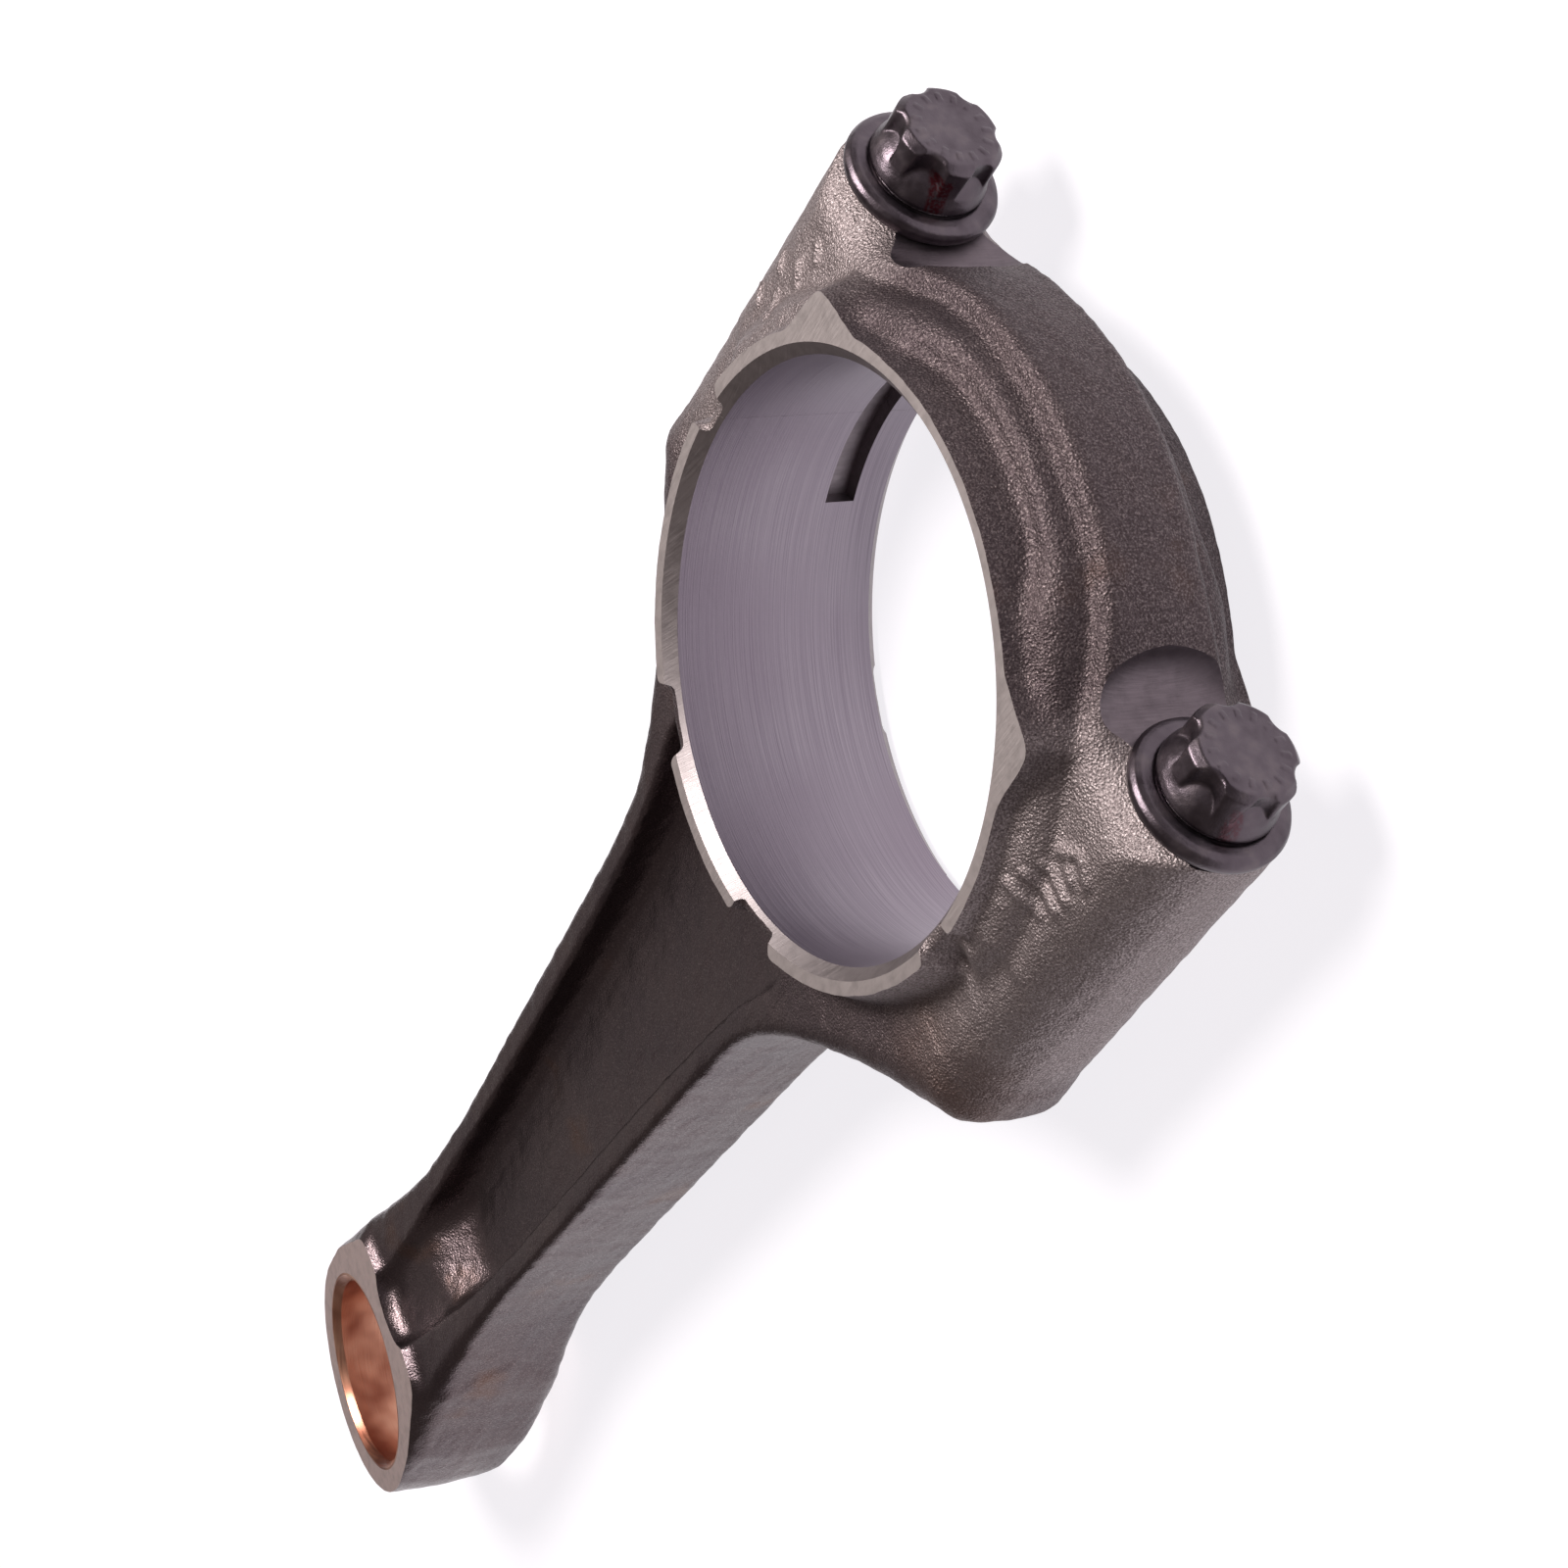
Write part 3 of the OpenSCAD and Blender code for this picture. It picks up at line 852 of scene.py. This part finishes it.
def forged_look(name, shade):
    """Shot-blasted brown-grey skin: fine grain over a soft swell, the grain's brightest tone (glint) a
    painted glint. The bosses get a painted highlight, and shade scales the grain and stain colours, which
    gives the cap's copy a painted shade.
    """
    look = Look(name, (0.12, 0.09, 0.09), 1.0, 0.5)
    grain = look.noise(5.0, 3.0, 0.65)
    pits = look.cells(4.2)
    patches = look.noise(0.1, 3.0)
    # Grain tone: random dark and middle grains are the skin's own; the brightest stop, glint, is a painted
    # glint.
    dark, middle, glint = [
        tuple(shade * c for c in colour)
        for colour in ((0.05, 0.037, 0.039), (0.11, 0.084, 0.09), (0.29, 0.235, 0.235))
    ]
    dull, plain, rust = [
        tuple(shade * c for c in colour)
        for colour in ((0.092, 0.07, 0.077), (0.115, 0.087, 0.09), (0.15, 0.088, 0.068))
    ]
    tone = look.ramp(grain, [(0.34, dark), (0.5, middle), (0.66, glint)])
    stain = look.ramp(patches, [(0.35, dull), (0.62, plain), (0.74, rust)])
    split = look.nodes.new("ShaderNodeSeparateXYZ")
    look.links.new(look.place, split.inputs[0])
    smoother = look.span(split.outputs["X"], 16.0, 44.0, 0.0, 1.0)
    blasted = look.mix(look.span(grain, 0.3, 0.7, 0.4, 0.8), stain, tone)
    # Painted highlight: on the bosses (|Y| 21 to 27 mm, fading out from X 6 to 16 mm) the skin switches to a
    # brighter grain ramp that stands in for the light on the boss fronts.
    across = look.math("ABSOLUTE", split.outputs["Y"], 0.0)
    outboard = look.span(across, 21.0, 27.0, 0.0, 1.0)
    big_end = look.span(split.outputs["X"], 6.0, 16.0, 1.0, 0.0)
    boss_painted_highlight = look.math("MULTIPLY", outboard, big_end)
    # bright: the brighter grain colours of the bosses' painted highlight.
    bright = look.ramp(grain, [
        (0.34, (0.15, 0.122, 0.122)), (0.5, (0.25, 0.208, 0.21)), (0.66, (0.4, 0.345, 0.345)),
    ])
    blasted = look.mix(boss_painted_highlight, blasted, bright)
    corner = look.patch((4, 24, -1), (21, 41, 9), 6.0)
    rusty = look.math("MULTIPLY", corner, look.span(patches, 0.4, 0.6, 0.3, 0.9))
    blasted = look.mix(rusty, blasted, (0.19, 0.115, 0.085))
    plainer = look.mix(look.span(grain, 0.3, 0.7, 0.0, 0.45), stain, tone)
    look.colour(look.mix(smoother, blasted, plainer))
    coarse = look.span(grain, 0.3, 0.7, 0.62, 0.44)
    rough = look.math("SUBTRACT", coarse, look.math("MULTIPLY", smoother, 0.2))
    look.roughness(rough)
    look.bump(look.noise(0.9, 2.0), 0.06)
    relief = look.math("ADD", grain, pits)
    look.bump(look.math("MULTIPLY", relief, look.span(smoother, 0.0, 1.0, 1.0, 0.35)), 0.08)
    return look.material


def faced_look(name, colour, rough, turn, depth):
    """Ground steel with fine straight grinding lines."""
    look = Look(name, colour, 1.0, rough)
    lines = look.noise(1.0, 3.0, 0.65, look.stretched((0.35, 9.0, 0.35), (0, 0, turn)))
    dirt = look.noise(0.7, 4.0, 0.6)
    darker = tuple(0.7 * c for c in colour)
    look.colour(look.mix(look.span(dirt, 0.45, 0.75, 0.0, 0.7), colour, darker))
    look.roughness(look.span(lines, 0.3, 0.7, rough - 0.08, rough + 0.1))
    look.bump(lines, depth)
    return look.material


def round_lines(look, across, along):
    """Lines that run around the Z axis: fine across the width, long around it."""
    split = look.nodes.new("ShaderNodeSeparateXYZ")
    look.links.new(look.place, split.inputs[0])
    turn = look.math("ARCTAN2", split.outputs["Y"], split.outputs["X"])
    join = look.nodes.new("ShaderNodeCombineXYZ")
    look.links.new(look.math("MULTIPLY", turn, along), join.inputs["X"])
    look.links.new(look.math("MULTIPLY", split.outputs["Z"], across), join.inputs["Y"])
    return join.outputs[0]


def bore_look():
    """Fine-bored wall: circumferential lines, lightly stained."""
    look = Look("bored_steel", (0.3, 0.25, 0.3), 1.0, 0.36)
    lines = look.noise(1.0, 3.0, 0.6, round_lines(look, 7.0, 1.2))
    stain = look.noise(0.07, 1.0)
    streaks = look.ramp(lines, [(0.3, (0.19, 0.16, 0.195)), (0.7, (0.33, 0.29, 0.33))])
    look.colour(look.mix(look.span(stain, 0.4, 0.7, 0.0, 0.4), streaks, (0.2, 0.16, 0.2)))
    look.roughness(look.span(lines, 0.3, 0.7, 0.3, 0.44))
    look.bump(lines, 0.02)
    return look.material


def bush_look():
    """Fine-bored copper-coloured bush, darker in patches."""
    look = Look("bronze_bush", (0.36, 0.16, 0.1), 1.0, 0.34)
    lines = look.noise(1.0, 2.0, 0.5, look.stretched((0.3, 0.3, 6.0)))
    patches = look.noise(0.16, 2.0)
    look.colour(look.ramp(patches, [
        (0.35, (0.3, 0.11, 0.07)), (0.5, (0.56, 0.28, 0.19)), (0.68, (0.75, 0.45, 0.32)),
    ]))
    look.roughness(look.span(lines, 0.3, 0.7, 0.28, 0.44))
    look.bump(lines, 0.01)
    return look.material


def bolt_look(name, paint_from, paint_to, paint):
    """Oiled dark steel, with a worn inspection stroke of red paint on part of the head."""
    look = Look(name, (0.12, 0.095, 0.11), 1.0, 0.36)
    dents = look.noise(1.6, 3.0, 0.55)
    grain = look.noise(7.0, 2.0)
    smears = look.noise(0.5, 2.0)
    steel = look.ramp(smears, [
        (0.3, (0.08, 0.064, 0.075)), (0.55, (0.11, 0.09, 0.104)), (0.75, (0.15, 0.124, 0.135)),
    ])
    worn = look.span(look.noise(3.0, 3.0), 0.35, 0.55, 0.0, paint)
    stroke = look.math("MULTIPLY", look.patch(paint_from, paint_to, 0.25), worn)
    look.colour(look.mix(stroke, steel, (0.1, 0.008, 0.014)))
    look.roughness(look.span(smears, 0.3, 0.7, 0.3, 0.46))
    look.bump(dents, 0.03)
    look.bump(grain, 0.012)
    return look.material


def hole_look():
    look = Look("drilled_steel", (0.14, 0.11, 0.12), 1.0, 0.4)
    lines = look.noise(1.0, 2.0, 0.5, look.stretched((6.0, 0.4, 0.4)))
    look.roughness(look.span(lines, 0.3, 0.7, 0.32, 0.5))
    look.bump(lines, 0.03)
    return look.material


def fracture_look():
    """Bright grainy face left where the cap was cracked off the rod."""
    look = Look("fractured_steel", (0.36, 0.33, 0.33), 1.0, 0.5)
    grain = look.cells(3.0)
    look.roughness(look.span(grain, 0.0, 0.6, 0.35, 0.65))
    look.bump(grain, 0.16)
    look.bump(look.noise(0.5, 3.0), 0.4)
    return look.material


# ---------------------------------------------------------------- stage


CAMERA_PLACE = (-240.95, 150.25, 182.18)
CAMERA_AZIMUTH = 240.078
CAMERA_ELEVATION = 30.343
CAMERA_ROLL = 96.148
CAMERA_LENS = 88.14


def camera_axes():
    """Right, up and view directions of the rolled camera."""
    azimuth = math.radians(CAMERA_AZIMUTH)
    elevation = math.radians(CAMERA_ELEVATION)
    roll = math.radians(CAMERA_ROLL)
    flat = Vector((-math.sin(azimuth), math.cos(azimuth), 0))
    view = flat * math.cos(elevation) - Vector((0, 0, math.sin(elevation)))
    level = view.cross(Vector((0, 0, 1))).normalized()
    upright = level.cross(view)
    up = upright * math.cos(roll) + level * math.sin(roll)
    return view.cross(up), up, view


def add_camera():
    right, up, view = camera_axes()
    data = bpy.data.cameras.new("camera")
    data.lens = CAMERA_LENS
    data.sensor_width = 36
    data.clip_start = 0.01
    data.clip_end = 10
    camera = bpy.data.objects.new("camera", data)
    place = Matrix((right, up, -view)).transposed().to_4x4()
    place.translation = Vector(CAMERA_PLACE) * MM
    camera.matrix_world = place
    bpy.context.scene.collection.objects.link(camera)
    bpy.context.scene.camera = camera


def add_light(name, direction, distance, size, power, colour):
    """Soft area light in a direction from the rod, aimed back at it."""
    data = bpy.data.lights.new(name, "AREA")
    data.shape = "DISK"
    data.size = size
    data.energy = power
    data.color = colour
    light = bpy.data.objects.new(name, data)
    centre = Vector((40 * MM, 0, 0))
    away = Vector(direction).normalized()
    light.matrix_world = away.to_track_quat("Z", "Y").to_matrix().to_4x4()
    light.location = centre + away * distance
    bpy.context.scene.collection.objects.link(light)
    return light


def add_floor():
    size = 3000
    corners = [(x * size, y * size, -HALF_W) for x, y in ((-1, -1), (1, -1), (1, 1), (-1, 1))]
    look = Look("pale_floor", (0.24, 0.235, 0.245), 0.0, 0.7)
    look.shader.inputs["Emission Color"].default_value = (0.98, 0.96, 1.0, 1)
    look.shader.inputs["Emission Strength"].default_value = 0.84
    look.bump(look.noise(0.05, 2.0), 0.05)
    floor = mesh_object("floor", corners, [(0, 1, 2, 3)], [look.material])


def add_world():
    world = bpy.data.worlds.new("studio")
    world.use_nodes = True
    background = world.node_tree.nodes["Background"]
    background.inputs["Color"].default_value = (1.0, 0.86, 0.82, 1)
    background.inputs["Strength"].default_value = 0.16
    bpy.context.scene.world = world
    bpy.context.scene.view_settings.view_transform = "Standard"


def build():
    looks = {
        "forged": forged_look("forging_skin", 1.0),
        "faced": faced_look("ground_face", (0.52, 0.465, 0.46), 0.5, 0.6, 0.02),
        "chamfer": faced_look("bore_chamfer", (0.34, 0.3, 0.305), 0.46, 0.2, 0.015),
        "taper": faced_look("tapered_face", (0.74, 0.6, 0.575), 0.42, 1.2, 0.012),
        "seat": faced_look("bolt_seat", (0.16, 0.13, 0.145), 0.44, 0.4, 0.02),
        "notch": faced_look("tang_notch", (0.3, 0.26, 0.28), 0.5, 0.0, 0.02),
        "bore": bore_look(),
        "hole": hole_look(),
        "fracture": fracture_look(),
    }
    rod, cap = rod_and_cap(looks)
    # Painted shade: the cap is the same forging as the rod, but its copy of the skin has the grain and stain
    # colours scaled down to 0.78.
    cap.data.materials[cap.data.materials.find("forging_skin")] = forged_look("cap_skin", 0.78)
    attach(rod, "rod_body")
    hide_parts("rod")
    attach(cap, "cap_body")
    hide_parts("big_end_cap")
    bush = bush_piece(bush_look())
    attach(bush, "rod_body")
    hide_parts("pin_bush")
    shape = bolt_mesh()
    for name, side, phase, body, paint in (
        ("bolt_one", -1, BOLT_PHASE_1, "bolt_1_body", 0.85),
        ("bolt_two", 1, BOLT_PHASE_2, "bolt_2_body", 0.35),
    ):
        across = side * BOLT_Y
        stroke_from = (SEAT_X - 1.9, across + 2.4, 0.9)
        stroke_to = (SEAT_X - 6, across + 6, 2.7)
        steel = bolt_look(name + "_steel", stroke_from, stroke_to, paint)
        bolt = bolt_piece(name, shape, side, phase, steel)
        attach(bolt, body)
        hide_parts("cap_" + body.replace("_body", ""))


add_camera()
add_world()
add_light("key", (-0.28, -0.43, 0.86), 0.7, 0.35, 7.5, (1.0, 0.96, 0.93))
add_light("fill", (-0.75, 0.2, 0.45), 0.9, 0.6, 0.25, (0.93, 0.9, 1.0))
add_light("face_light", (0.75, -0.43, 0.5), 0.9, 0.7, 0.27, (1.0, 0.95, 0.93))
add_floor()
build()
